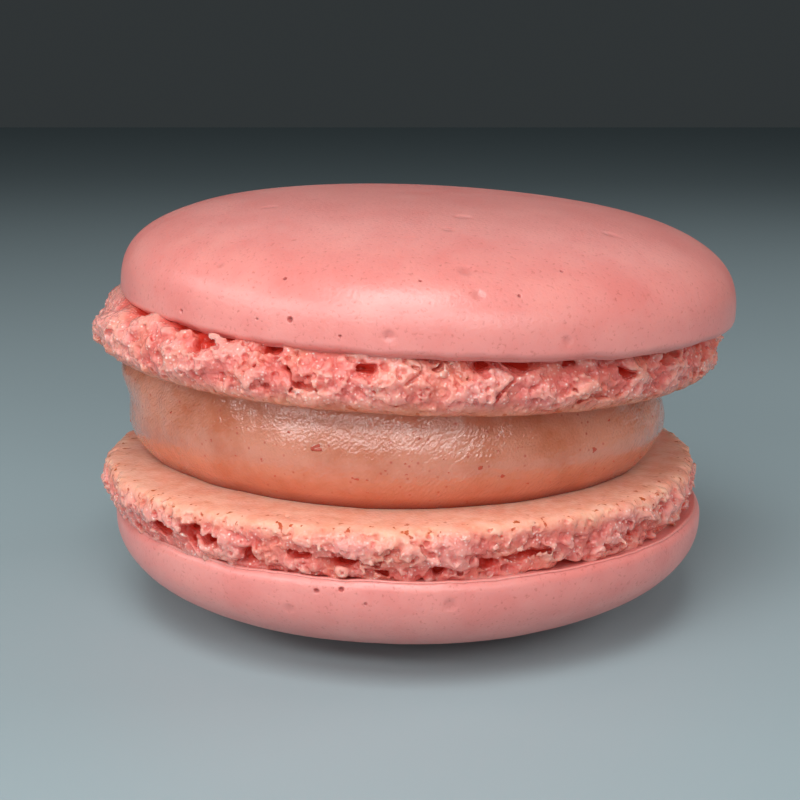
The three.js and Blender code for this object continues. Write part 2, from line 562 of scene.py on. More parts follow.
@dataclass(frozen=True)
class BakedSkin(Finish):
    """Baked almond meringue, skinned over before baking: smooth, satin, faintly mottled, with pin pores."""

    name: str = "baked_meringue_skin"
    colour: str = "e79089"
    blush: str = "e48881"
    pale: str = "eb9890"
    pore: str = "9a2b2a"
    roughness: float = 0.33
    mottle: float = 4.5  # mm, the drift between paler and pinker patches
    grain: float = 0.24  # mm, ground almond under the skin
    pores: float = 2.6  # mm between pin pores
    unpitted: float = 0.65  # share of the places for a pore that have none
    pore_darkness: float = 0.7
    relief: float = 0.1  # mm, how far the mottle and grain lift the skin
    depth: float = 0.8  # mm that light travels under the skin

    def values(self) -> dict[str, object]:
        """What the shader's inputs hold, by name."""
        return {
            "Roughness": self.roughness,
            "IOR": 1.5,
            "Specular IOR Level": 0.7,
            "Subsurface Weight": 0.4,
            "Subsurface Radius": (1.0, 0.45, 0.35),
            "Subsurface Scale": self.depth * MM,
        }

    def pattern(self, add: AddNode) -> dict[str, object]:
        """Lays out the mottle, the almond grain and the pores.

        Args:
            add: Adds a node.

        Returns:
            What drives the shader's inputs, by name.
        """
        place = add("TexCoord").outputs["Object"]
        mottled = {"Vector": place, "Scale": per_mm(self.mottle), "Detail": 3.0, "Roughness": 0.6}
        patches = add("TexNoise", mottled)
        stops = [(0.35, self.blush), (0.5, self.colour), (0.68, self.pale)]
        colour = add("ValToRGB", [patches], stops=stops)
        grain = add("TexNoise", {"Vector": place, "Scale": per_mm(self.grain), "Detail": 2.0})
        stops = [(0.24, "e8d6d2"), (0.4, "ffffff"), (0.62, "ffffff"), (0.75, "fffaf5")]
        speckle = add("ValToRGB", [grain], stops=stops)
        speckled = {0: 1.0, 6: colour, 7: speckle}
        colour = add("Mix", speckled, data_type="RGBA", blend_type="MULTIPLY").outputs[2]

        cells = add("TexVoronoi", {"Vector": place, "Scale": per_mm(self.pores)})
        chance = add("SeparateColor", [cells.outputs["Color"]]).outputs
        some = add("Math", [chance["Red"], self.unpitted], operation="GREATER_THAN")
        widest = add("MapRange", {"Value": chance["Green"], "To Min": 0.02, "To Max": 0.055})
        spot = add("MapRange", [cells.outputs["Distance"], 0.02, widest, 1.0, 0.0])
        pin = add("Math", [some, spot], operation="MULTIPLY")
        pressed = add("Attribute", attribute_name="pore").outputs["Fac"]
        pin = add("Math", [pin, pressed], operation="MAXIMUM")
        faded = add("Math", [pin, self.pore_darkness], operation="MULTIPLY")
        colour = add("Mix", {0: faded, 6: colour, 7: self.pore}, data_type="RGBA").outputs[2]

        height = add("Math", [grain, 0.5, patches], operation="MULTIPLY_ADD")
        height = add("Math", [pin, -1.5, height], operation="MULTIPLY_ADD")
        normal = add("Bump", {"Height": height, "Strength": 0.5, "Distance": self.relief * MM})
        return {"Base Color": colour, "Normal": normal}


@dataclass(frozen=True)
class TornFroth(Finish):
    """Torn meringue froth: glistening sugar foam, browned to peach by the tray, with painted shade and a
    painted red glow in its hollows, a painted highlight on its proud lumps and painted glints of sugar.
    """

    name: str = "torn_meringue_froth"
    # froth and flesh drift at random, and also serve as painted highlight on proud lumps and painted shade on
    # sunk parts
    froth: str = "ec9a90"
    flesh: str = "df7269"
    # painted shade: the deep red drawn where the froth is sunk, standing for shade and for light scattered
    # through the foam
    hollow: str = "c83a2d"
    crust: str = "fabba3"
    toast: str = "efa387"
    peach: str = "efa385"
    pit: str = "b85526"
    # painted glints: the white of light caught by sugar crystals
    sugar: str = "ffeae2"
    glow: str = "8a1c12"  # the light that reaches the hollows through the foam
    roughness: float = 0.18
    lump: float = 1.3  # mm, the drift between red flesh and pale froth
    warmth: float = 2.4  # mm, patches that the oven turned to peach
    grit: float = 0.6  # mm between the pits of the worn crust
    crystal: float = 0.22  # mm, painted glints of heaped sugar crystals, drawn coarser than real ones so that they show
    bubble: float = 0.2  # mm, the finest bubbles that show
    grain: float = 0.13  # mm, the roughness between them
    relief: float = 0.055  # mm, how deep those bubbles are
    depth: float = 1.2  # mm that light travels in the foam

    def values(self) -> dict[str, object]:
        """What the shader's inputs hold, by name."""
        return {
            "Roughness": self.roughness,
            "IOR": 1.5,
            "Specular IOR Level": 0.25,
            "Subsurface Weight": 0.7,
            "Subsurface Radius": (1.0, 0.35, 0.25),
            "Subsurface Scale": self.depth * MM,
            "Coat Roughness": 0.12,
            "Emission Strength": 0.2,
        }

    def pattern(self, add: AddNode) -> dict[str, object]:
        """Lays out the froth's colours by how hollow, proud and browned it is, with painted shade and a
        painted glow in the hollows, a painted highlight on proud lumps and painted glints, and its finest
        bubbles.

        Args:
            add: Adds a node.

        Returns:
            What drives the shader's inputs, by name.
        """
        place = add("TexCoord").outputs["Object"]
        marks = ("hollow", "baked", "proud", "worn")
        hollow, baked, proud, worn = (add("Attribute", attribute_name=mark).outputs["Fac"] for mark in marks)
        lumpy = {"Vector": place, "Scale": per_mm(self.lump), "Detail": 4.0, "Roughness": 0.7}
        patches = add("TexNoise", lumpy)
        # painted highlight and shade: proud lumps drawn paler and sunk parts redder, over a random drift
        tint = add("Math", [patches, 0.9, proud], operation="MULTIPLY_ADD")
        tint = add("Math", [tint, 0.45], operation="SUBTRACT")
        froth = add("ValToRGB", [tint], stops=[(0.2, self.flesh), (0.75, self.froth)])
        drift = add("TexNoise", {"Vector": place, "Scale": per_mm(self.warmth), "Detail": 2.0})
        warm = add("MapRange", [drift, 0.45, 0.65, 0.0, 0.3])
        froth = add("Mix", {0: warm, 6: froth, 7: self.peach}, data_type="RGBA").outputs[2]

        crust = add("ValToRGB", [patches], stops=[(0.32, self.toast), (0.6, self.crust)])
        grit = add("TexNoise", {"Vector": place, "Scale": per_mm(self.grit), "Detail": 2.0})
        pits = add("ValToRGB", [grit], stops=[(0.63, 0.0), (0.68, 1.0)])
        pits = add("Math", [pits, worn], operation="MULTIPLY")
        crust = add("Mix", {0: pits, 6: crust, 7: self.pit}, data_type="RGBA").outputs[2]
        colour = add("Mix", {0: baked, 6: froth, 7: crust}, data_type="RGBA").outputs[2]

        # painted glints: white specks standing for light caught by sugar crystals, in clusters, fewer on the
        # crust
        crystals = add("TexVoronoi", {"Vector": place, "Scale": per_mm(self.crystal)})
        chance = add("SeparateColor", [crystals.outputs["Color"]]).outputs["Red"]
        some = add("Math", [chance, 0.55], operation="GREATER_THAN")
        bare = add("Math", [baked, -0.7, 0.75], operation="MULTIPLY_ADD")
        some = add("Math", [some, bare], operation="MULTIPLY")
        heaped = add("MapRange", [patches, 0.42, 0.58])
        some = add("Math", [some, heaped], operation="MULTIPLY")
        glint = add("MapRange", [crystals.outputs["Distance"], 0.1, 0.45, 1.0, 0.0])
        glint = add("Math", [some, glint], operation="MULTIPLY")
        # painted glints of sugar, then the painted shade of the hollows
        for share, shade in ((glint, self.sugar), (hollow, self.hollow)):
            colour = add("Mix", {0: share, 6: colour, 7: shade}, data_type="RGBA").outputs[2]

        foam = {"Vector": place, "Scale": per_mm(self.bubble), "Smoothness": 0.5}
        foam = add("TexVoronoi", foam, feature="SMOOTH_F1").outputs["Distance"]
        grain = add("TexNoise", {"Vector": place, "Scale": per_mm(self.grain), "Detail": 1.0})
        height = add("Math", [grain, 0.6, foam], operation="MULTIPLY_ADD")
        flatter = add("Math", [baked, -0.75, 1.0], operation="MULTIPLY_ADD")
        height = add("Math", [height, flatter], operation="MULTIPLY")
        normal = add("Bump", {"Height": height, "Strength": 0.9, "Distance": self.relief * MM})
        # painted glow: emission in the hollows standing for light that crosses the foam
        glow = add("Mix", {0: hollow, 6: "000000", 7: self.glow}, data_type="RGBA").outputs[2]
        wet = add("Math", [baked, -0.5, 0.5], operation="MULTIPLY_ADD")
        return {
            "Base Color": colour,
            "Normal": normal,
            "Coat Weight": wet,
            "Coat Normal": normal,
            "Emission Color": glow,
        }


@dataclass(frozen=True)
class WhippedButtercream(Finish):
    """Butter whipped with sugar and berry purée: a soft greasy shine over faint wrinkles."""

    name: str = "whipped_buttercream"
    colour: str = "dd9074"
    deep: str = "cc7654"
    # painted shade: the next colour darkens the lower part of the filling, and the one after it the line
    # where the filling meets the lower shell
    base: str = "b9582f"
    contact_shade: str = "8a2a10"
    fleck: str = "b8321f"
    roughness: float = 0.24
    drift: float = 3.5  # mm, the drift between paler and deeper patches
    speck: float = 0.6  # mm between berry specks
    crowd: float = 5.0  # mm, patches where the specks crowd
    wrinkle: float = 0.5  # mm, slanting wrinkles
    sugar: float = 0.17  # mm, undissolved sugar
    relief: float = 0.038  # mm, how deep the wrinkles are
    depth: float = 1.2  # mm that light travels in the butter

    def values(self) -> dict[str, object]:
        """What the shader's inputs hold, by name."""
        return {
            "Roughness": self.roughness,
            "IOR": 1.52,
            "Subsurface Weight": 0.5,
            "Subsurface Radius": (1.0, 0.45, 0.3),
            "Subsurface Scale": self.depth * MM,
            "Coat Roughness": 0.14,
            "Coat IOR": 1.65,
        }

    def pattern(self, add: AddNode) -> dict[str, object]:
        """Lays out the drift of colour, the berry specks, the painted shade that darkens the foot of the
        filling and the line where it meets the shell, and the wrinkles.

        Args:
            add: Adds a node.

        Returns:
            What drives the shader's inputs, by name.
        """
        place = add("TexCoord").outputs["Object"]
        drifting = {"Vector": place, "Scale": per_mm(self.drift), "Detail": 5.0, "Roughness": 0.6}
        patches = add("TexNoise", drifting)
        colour = add("ValToRGB", [patches], stops=[(0.35, self.deep), (0.58, self.colour)])

        cells = add("TexVoronoi", {"Vector": place, "Scale": per_mm(self.speck)})
        chance = add("SeparateColor", [cells.outputs["Color"]]).outputs["Red"]
        crowd = add("TexNoise", {"Vector": place, "Scale": per_mm(self.crowd), "Detail": 1.0})
        chance = add("Math", [chance, crowd], operation="ADD")
        some = add("Math", [chance, 1.1], operation="GREATER_THAN")
        spot = add("MapRange", [cells.outputs["Distance"], 0.04, 0.2, 0.75, 0.0])
        speck = add("Math", [some, spot], operation="MULTIPLY")

        level = add("Attribute", attribute_name="level").outputs["Fac"]
        # painted shade: darker towards the bottom of the filling, darkest along the line where it meets the
        # lower shell
        low = add("MapRange", [level, 0.1, 0.55, 0.6, 0.0])
        contact_shade = add("MapRange", [level, 0.02, 0.13, 0.9, 0.0])
        for share, shade in ((speck, self.fleck), (low, self.base), (contact_shade, self.contact_shade)):
            colour = add("Mix", {0: share, 6: colour, 7: shade}, data_type="RGBA").outputs[2]
        greasy = add("Math", [1.0, contact_shade], operation="SUBTRACT")

        slant = {"Vector": place, "Rotation": (0, 0.8, 0), "Scale": (0.35, 1.0, 1.0)}
        slanted = add("Mapping", slant, vector_type="TEXTURE")
        wrinkled = {"Vector": slanted, "Scale": per_mm(self.wrinkle), "Detail": 1.5, "Distortion": 0.3}
        wrinkles = add("TexNoise", wrinkled)
        sugar = add("TexNoise", {"Vector": place, "Scale": per_mm(self.sugar), "Detail": 1.0})
        height = add("Math", [sugar, 0.9, wrinkles], operation="MULTIPLY_ADD")
        normal = add("Bump", {"Height": height, "Strength": 1.0, "Distance": self.relief * MM})
        return {"Base Color": colour, "Normal": normal, "Coat Weight": greasy, "Coat Normal": normal}


@dataclass(frozen=True)
class BerrySkin(Finish):
    """Wet berry skin: dark red and shiny."""

    name: str = "berry_skin"
    colour: str = "c4503a"
    roughness: float = 0.25
    depth: float = 0.3  # mm that light travels under the skin

    def values(self) -> dict[str, object]:
        """What the shader's inputs hold, by name."""
        return {
            "Base Color": self.colour,
            "Roughness": self.roughness,
            "Subsurface Weight": 0.3,
            "Subsurface Scale": self.depth * MM,
        }


@dataclass(frozen=True)
class PaleLaminate(Finish):
    """A pale matt table top."""

    name: str = "pale_laminate"
    colour: str = "a0b2b7"
    roughness: float = 0.55

    def values(self) -> dict[str, object]:
        """What the shader's inputs hold, by name."""
        return {"Base Color": self.colour, "Roughness": self.roughness}


# ---------------------------------------------------------------- the pieces


@dataclass
class Shell:
    """One meringue shell: a torn foot with a flat base, and a smooth cap.

    Args:
        name: "upper" or "lower".
        place: Where its base's middle goes, in metres, with its turn.
        foot: The foot's sizes.
        cap: The cap's sizes.
        swells: Where the foot spills out or falls short.
        ears: Where the froth under the cap spills out.
        holes: Its torn holes.
        dents: Dents and pores in the cap.
        seed: Sets its froth.
    """

    name: str
    place: Matrix
    foot: FootSizes
    cap: CapSizes
    swells: tuple[Swell, ...]
    ears: tuple[Swell, ...]
    holes: tuple[Hole, ...]
    dents: tuple[Dent, ...]
    seed: int
    tearing: Tearing = Tearing()
    inner: float = 15.3  # mm, the bore of the foot, behind the buttercream
    widest_pore: float = 0.6  # mm, above which a mark in the cap is a dent
    pore_cuts: int = 4  # how often the mesh's edges are cut under a pore
    dent_cuts: int = 1
    dent_shade: float = 0.22  # how dark a dent is, where a pore is 1
    pressed: float = 0.25  # mm round a dent where the mesh is finer too
    dome_rings: int = 84
    lobes: tuple[tuple[int, float, float], ...] = ((2, 0.1, 0.4), (3, 0.07, 1.9))
    rim_ripples: tuple[tuple[float, float], ...] = ((0.14, 3.3), (0.06, 1.1))
    dome_ripples: tuple[tuple[float, float], ...] = ((0.1, 8.0), (0.02, 2.6))
    recess: float = 1.5  # mm from the froth's outside to the crumb behind the gap under the cap
    spare: float = 1.6  # mm that froth may reach past the foot's radius and height
    margin: float = 0.4  # mm of empty lattice under and over it
    adaptivity: float = 0.2  # how far flat stretches of the foot's mesh are joined
    bubble_radius: tuple[float, float] = (0.09, 0.2)  # mm, the least and how much more the widest has
    crumb_radius: tuple[float, float] = (0.1, 0.14)
    bubbles: int = 3600
    crumbs: int = 1800
    blobs: int = 60
    cell: float = field(default_factory=lambda: 0.125)

    def build(self, skin: bpy.types.Material, froth: bpy.types.Material) -> None:
        """Builds and dresses the shell, which stands for its CAD node.

        Args:
            skin: The cap's finish.
            froth: The foot's finish.
        """
        new_piece(f"{self.name}_cap", self.cap_mesh(), skin)
        foot = new_piece(f"{self.name}_foot", self.foot_mesh(), froth)
        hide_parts(f"{self.name}_shell")

    # the cap

    def cap_outline(self) -> list[tuple[float, float]]:
        """Draws the cap's outline.

        Returns:
            Its points, from the crown over the shoulder and rim to the middle of its underside.
        """
        cap, crease = self.cap, self.foot.height
        tuck, dome = cap.tuck_height, cap.height - cap.tuck_height
        outline = []
        for step in range(self.dome_rings + 1):
            turn = math.pi / 2 * (1 - step / self.dome_rings)
            radius = cap.radius * math.cos(turn) ** (2 / cap.square_plan) if step else 0.0
            outline.append((radius, crease + tuck + dome * math.sin(turn) ** (2 / cap.square_height)))
        rim = cap.radius - cap.tuck_inset
        for turn in np.radians([10, 20, 30, 40, 50, 60, 68, 75]):
            outline.append((rim + cap.tuck_inset * math.cos(turn), crease + tuck * (1 - math.sin(turn))))
        lip = [(0.2, 0.0), (0.17, -0.05), (0.1, -0.09), (0.0, -0.08), (-0.1, -0.02), (-0.35, 0.06)]
        outline += [(rim + out, crease + up) for out, up in lip]
        outline += [(rim - 1.2, crease + 0.15), (rim - 4.0, crease + 0.2), (0.0, crease + 0.2)]
        return outline

    def cap_mesh(self) -> bpy.types.Mesh:
        """Models the cap.

        Returns:
            Its mesh, in metres.
        """
        shape = spun(self.cap_outline(), STEPS)
        cap, crease = self.cap, self.foot.height
        layer = shape.verts.layers.float.new("pore")
        for vert in shape.verts:
            x, y, z = vert.co
            out = math.hypot(x, y)
            azimuth = math.atan2(x, -y)
            edge = float(smooth_step(out, cap.radius / 3, cap.radius))
            spot = vert.co + Vector((self.seed, 0, 0))
            if out > 0:
                share = (out + edge * waves_at(azimuth, self.lobes)) / out
                vert.co.x *= share
                vert.co.y *= share
            rim = float(1 - smooth_step(z, crease, crease + 2.5)) * edge
            vert.co.z += rim * ripples_at(spot, self.rim_ripples)
            vert.co.z += edge * ripples_at(spot, self.dome_ripples)
            vert.co.x += cap.offset
        for dent in self.dents:
            self.press(shape, layer, dent)
        return mesh_from(shape, f"{self.name}_cap", self.place)

    def press(self, shape: bmesh.types.BMesh, layer: bmesh.types.BMLayerItem, dent: Dent) -> None:
        """Presses a dent into the cap's skin, on a finer patch of mesh.

        Args:
            shape: The cap.
            layer: Marks pores, to darken them.
            dent: The dent.
        """
        aim = Vector((dent.x, dent.y, dent.z))
        middle = min((vert.co for vert in shape.verts), key=lambda spot: (spot - aim).length_squared).copy()
        pore = dent.wide < self.widest_pore
        reach = dent.wide / 2

        def near(spare: float) -> list[bmesh.types.BMVert]:
            """The points within the dent's edge and a spare distance round it."""
            return [vert for vert in shape.verts if (vert.co - middle).length < reach + spare]

        # a dict and not a set, whose order would vary from run to run
        edges = dict.fromkeys(edge for vert in near(self.pressed) for edge in vert.link_edges)
        cuts = self.pore_cuts if pore else self.dent_cuts
        bmesh.ops.subdivide_edges(shape, edges=list(edges), cuts=cuts, use_grid_fill=True)
        shape.normal_update()
        for vert, inwards in [(vert, -vert.normal) for vert in near(0)]:
            share = 1 - float(smooth_step((vert.co - middle).length / reach, 0.3, 1))
            vert.co += inwards * dent.deep * share
            vert[layer] = share if pore else self.dent_shade * share

    # the foot

    def nominal(self, azimuth: np.ndarray, z: np.ndarray) -> np.ndarray:
        """Finds the foot's radius before it is torn.

        Args:
            azimuth: Azimuths in radians.
            z: Heights above the flat base, in mm.

        Returns:
            The radius at each, in mm.
        """
        foot = self.foot
        widest = foot.height * foot.widest
        below = foot.rim * np.clip(1 - z / widest, 0, 1) ** 2
        above = foot.crease * np.clip((z - widest) / (foot.height - widest), 0, None) ** 2
        ears = swell_at(azimuth, self.ears) * smooth_step(z, 0.5 * foot.height, foot.height)
        return foot.radius + swell_at(azimuth, self.swells) + ears - below - above

    def foot_lattice(self) -> Lattice:
        """Builds the foot up as a solid and tears it.

        Returns:
            The lattice that holds it.
        """
        foot, tearing, rng = self.foot, self.tearing, np.random.default_rng(self.seed)
        reach = foot.radius + self.spare
        top = foot.height + self.spare
        low, high = Vector((-reach, -reach, -self.margin)), Vector((reach, reach, top + self.margin))
        space = Lattice(low, high, self.cell)
        x_axis, y_axis, z_axis = space.axes
        x_flat, y_flat = np.meshgrid(x_axis, y_axis, indexing="ij")
        away = np.hypot(x_flat, y_flat)
        ring = (away > self.inner - 0.3) & (away < reach)
        x, y, out = (part[ring][:, None] for part in (x_flat, y_flat, away))
        z = z_axis[None, :]
        azimuth = np.arctan2(x, -y)

        wall = self.nominal(azimuth, z)
        # the swirls bend the plates and lumps, and the lumps bend the beads; offsets in z keep layers unlike
        near = GradientNoise(self.seed)
        warp = near.at(x, y, z + 80, tearing.eddy)
        big = near.at(x + 0.8 * warp, y - 0.8 * warp, z * 1.5 + 0.8 * warp, tearing.plate)
        mid = near.at(x + 0.6 * warp, y - 0.6 * warp, z * 1.2 + 0.5 * warp, tearing.lump)
        fine = near.at(x + 0.3 * mid, y - 0.3 * mid, z + 0.4 * mid, tearing.bead)
        grain = near.at(x, y, z + 20, tearing.grain)
        patch = near.at(x, y, z + 50, tearing.stretch)

        # the wall is torn most above the crust, less below it and least at an ear
        ear = np.clip(swell_at(azimuth, self.ears), 0, 1)
        free = 0.6 * smooth_step(z, foot.crust - 0.5, foot.crust + 0.5) + 0.4 * smooth_step(z, 0.1, 0.5)
        free = free * (1 - 0.5 * ear)
        plates = np.tanh(5 * big)
        lumps = tearing.lump_fold * np.abs(mid) + tearing.bead_fold * np.abs(fine) - tearing.sunk
        relief = free * (tearing.plate_reach * plates + lumps) + tearing.lump_reach * mid
        relief = relief + tearing.bead_reach * fine + tearing.grain_reach * grain
        slits = np.exp(-((big / tearing.slit) ** 2)) * smooth_step(patch, 0.05, 0.3) * free
        outside = out - (wall + relief - tearing.slit_depth * slits)

        # a skirt of froth up to the torn gap under the cap, and the crumb that shows behind that gap
        around = foot.radius
        ragged = near.at(np.sin(azimuth) * around, np.cos(azimuth) * around, np.float32(40.0), 3.2)
        gap = np.clip(foot.gap + foot.gap_swing * ragged, -0.35, 1.2) * (1 - ear)
        lip = self.cap.radius - self.cap.tuck_inset + self.cap.offset * np.sin(azimuth)
        slope = ear * np.clip(out - lip - 0.4, -0.5, None)
        skirt = smooth_max(outside, z - (foot.height - gap - slope + (0.45 - 0.3 * ear) * mid), 0.15)
        crumb = out - (wall - self.recess + 0.7 * big + 0.3 * mid)
        solid = smooth_min(skirt, crumb, 0.2)
        space.values[ring] = solid
        self.bridge(space, rng)
        solid = space.values[ring]

        for hole in self.holes:
            along = turned(azimuth, hole.azimuth) * foot.radius + 1.0 * warp
            climb = z - hole.level - hole.tilt * along + 0.5 * mid
            inwards = ((out - wall) / hole.deep) ** 2
            size = np.sqrt((along / (hole.wide / 2)) ** 2 + (climb / (hole.tall / 2)) ** 2 + inwards)
            torn = (size - 1 + 0.35 * mid + 0.3 * fine) * min(hole.wide, hole.tall) / 2
            solid = smooth_max(solid, -torn, 0.06)

        base = -z + 0.03 * big + 0.03 * mid * smooth_step(out, 18, 20)
        solid = smooth_max(solid, base, foot.shoulder)
        solid = np.maximum(solid, z - top)
        space.values[ring] = np.maximum(solid, self.inner - out)

        self.tear(space, rng)
        return space

    def bridge(self, space: Lattice, rng: np.random.Generator) -> None:
        """Bridges the gap under the cap with blobs of froth.

        Args:
            space: The lattice that holds the foot.
            rng: Draws their places and sizes.
        """
        for _ in range(self.blobs):
            azimuth = rng.uniform(-math.pi, math.pi)
            radius = rng.uniform(0.3, 0.65)
            level = self.foot.height - rng.uniform(0.1, 0.9)
            if swell_at(np.array(azimuth), self.ears) > 0.1:
                continue
            wall = float(self.nominal(np.array(azimuth), np.array(level)))
            out = wall - radius * rng.uniform(0.9, 1.6)
            for _ in range(5):
                part = radius * rng.uniform(0.5, 1.0)
                drift = rng.normal(0, radius * 0.4, 3) * (1, 1, 0.5)
                centre = np.array([math.sin(azimuth) * out, -math.cos(azimuth) * out, level]) + drift
                space.heap(centre, part)

    def tear(self, space: Lattice, rng: np.random.Generator) -> None:
        """Opens bubbles in the wall and sticks crumbs to it.

        Args:
            space: The lattice that holds the foot.
            rng: Draws their places and sizes.
        """
        foot = self.foot
        count = self.bubbles + self.crumbs
        azimuth = rng.uniform(-math.pi, math.pi, count)
        level = foot.height * rng.beta(1.0, 1.3, count)
        steps = np.arange(foot.radius + 1.5, foot.radius - 2.6, -self.cell)
        rays = np.stack([np.sin(azimuth), -np.cos(azimuth)], axis=1)[:, None, :] * steps[None, :, None]
        lift = np.broadcast_to(level[:, None, None], (*rays.shape[:2], 1))
        solid = space.read(np.concatenate([rays, lift], axis=2)) < 0
        first = np.argmax(solid, axis=1)
        froth = smooth_step(level, foot.crust - 0.4, foot.crust + 0.4)
        for i in range(count):
            bubble = i < self.bubbles
            if not solid[i, first[i]] or not (bubble or froth[i] > 0.5):
                continue
            out = steps[first[i]]
            if bubble:
                least, more = self.bubble_radius
                radius = (least + more * rng.random() ** 4) * (0.6 + 0.4 * froth[i])
                out += radius * rng.uniform(-0.2, 0.4)
            else:
                least, more = self.crumb_radius
                radius = least + more * rng.random() ** 2
                out -= radius * rng.uniform(0.2, 0.9)
            centre = np.array([math.sin(azimuth[i]) * out, -math.cos(azimuth[i]) * out, level[i]])
            (space.carve if bubble else space.heap)(centre, radius)

    def foot_mesh(self) -> bpy.types.Mesh:
        """Meshes the foot and marks how hollow, proud, browned and worn each point is; the hollow and proud
        marks place painted shade, a painted glow and a painted highlight.

        Returns:
            Its mesh, in metres.
        """
        points, faces = self.foot_lattice().surface(self.adaptivity)
        if self.place.determinant() < 0:
            faces = [face[::-1] for face in faces]
        matrix = np.array(self.place)
        placed = points @ matrix[:3, :3].T + matrix[:3, 3]
        mesh = bpy.data.meshes.new(f"{self.name}_foot")
        mesh.from_pydata(placed.tolist(), [], faces)

        x, y, z = points.T
        out = np.hypot(x, y)
        azimuth = np.arctan2(x, -y)
        sunk = self.nominal(azimuth, z) - out - 2 * np.clip(swell_at(azimuth, self.ears), 0, 1)
        ragged = GradientNoise(self.seed + 1).at(x, y, z, 2.2)
        marks = {
            "hollow": smooth_step(sunk, 0.3, 1.0) * smooth_step(z, 0.4, 0.9),
            "proud": 1 - smooth_step(sunk, -0.35, 0.4),
            "baked": 1 - smooth_step(z + 0.4 * ragged, self.foot.crust - 1.0, self.foot.crust + 0.4),
            "worn": smooth_step(out + 0.6 * ragged, self.foot.radius - 2.2, self.foot.radius - 0.8),
        }
        for name, values in marks.items():
            mesh.attributes.new(name, "FLOAT", "POINT").data.foreach_set("value", values.astype(np.float32))
        return mesh


@dataclass
class Buttercream:
    """The buttercream, a squeezed round whose top follows the leaning base of the upper shell.

    Args:
        centre: Its middle on the lower shell's base, in mm, in the row frame.
        height: Between the two bases, at the middle of the upper one.
        lean: The upper shell's lean, in degrees.
        hinge: Where along X the height holds, in mm from the middle.
    """

    centre: Vector
    height: float
    lean: float
    hinge: float
    radius: float = 18.8
    lower: float = 1.5
    upper: float = 0.7
    widest: float = 0.46
    slope: float = 0.2  # share of its upper part over which it turns from upright to an even slope
    depth: float = 0.955
    front_tuck: float = 0.5  # mm that its upper edge lies further in at the front
    bulges: tuple[Bulge, ...] = (
        Bulge(Swell(-92, 34, 1.35), level=0.76, tall=0.19),
        Bulge(Swell(-92, 40, 0.8), level=0.18, tall=0.3),
    )
    lobes: tuple[tuple[int, float, float], ...] = ((3, 0.22, 0.6), (5, 0.14, 2.1))
    ripples: tuple[tuple[float, float], ...] = ((0.14, 2.8), (0.04, 0.9), (0.02, 0.4))
    rings: int = 64  # from its lower to its upper edge
    bite: float = 0.05  # mm that it sinks into the shell on either side

    def build(self, finish: bpy.types.Material) -> bpy.types.Object:
        """Builds and dresses the buttercream, which stands for its CAD node.

        Args:
            finish: Its finish.

        Returns:
            The piece.
        """
        outline = [(0.0, 0.0), (self.radius - self.lower - 1, 0.0)]
        for ring in range(self.rings + 1):
            share = ring / self.rings
            below = max(1 - share / self.widest, 0)
            outline.append((self.radius - self.lower * below**2 - self.upper * self.leaning_in(share), share))
        outline += [(self.radius - self.upper - 2, 1.0), (0.0, 1.0)]
        shape = spun(outline, STEPS)
        layer = shape.verts.layers.float.new("level")
        for vert in shape.verts:
            vert[layer] = vert.co.z
            self.squeeze(vert)
        place = Matrix.Translation(self.centre * MM) @ Matrix.Scale(MM, 4)
        mesh = mesh_from(shape, "buttercream_filling", place)
        cream = new_piece("buttercream_filling", mesh, finish)
        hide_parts("buttercream")
        return cream

    def leaning_in(self, share: float) -> float:
        """How far the upper part has leaned in at a share of the height, from 0 to about 1."""
        above = max(share - self.widest, 0) / (1 - self.widest)
        return above - self.slope * (1 - math.exp(-above / self.slope))

    def squeeze(self, vert: bmesh.types.BMVert) -> None:
        """Moves a point of the plain round to where the squeezed buttercream has it.

        Args:
            vert: The point, its height still a share of the filling's.
        """
        azimuth = np.float64(math.atan2(vert.co.x, -vert.co.y))
        out = math.hypot(vert.co.x, vert.co.y)
        share = vert.co.z
        edge = min(out / self.radius, 1)
        reach = 0.0
        for bulge in self.bulges:
            near = math.exp(-(((share - bulge.level) / bulge.tall) ** 2))
            reach += float(swell_at(azimuth, (bulge.swell,))) * near
        reach -= self.front_tuck * max(math.cos(azimuth), 0) ** 2 * self.leaning_in(share)
        reach += waves_at(azimuth, self.lobes)
        reach += ripples_at(Vector((vert.co.x, vert.co.y, share * self.height)), self.ripples)
        if out > 0:
            vert.co.x *= (out + edge * reach) / out
            vert.co.y *= (out + edge * reach) / out
        vert.co.y *= self.depth
        top = self.height - (vert.co.x - self.hinge) * math.tan(math.radians(self.lean))
        vert.co.z = -self.bite + share * (top + 2 * self.bite)


@dataclass(frozen=True)
class Fleck:
    """A fleck of berry skin in the buttercream.

    Args:
        azimuth: Where it lies, in degrees.
        level: Its height above the lower shell's base, in mm.
        size: Its length, in mm.
    """

    azimuth: float
    level: float
    size: float


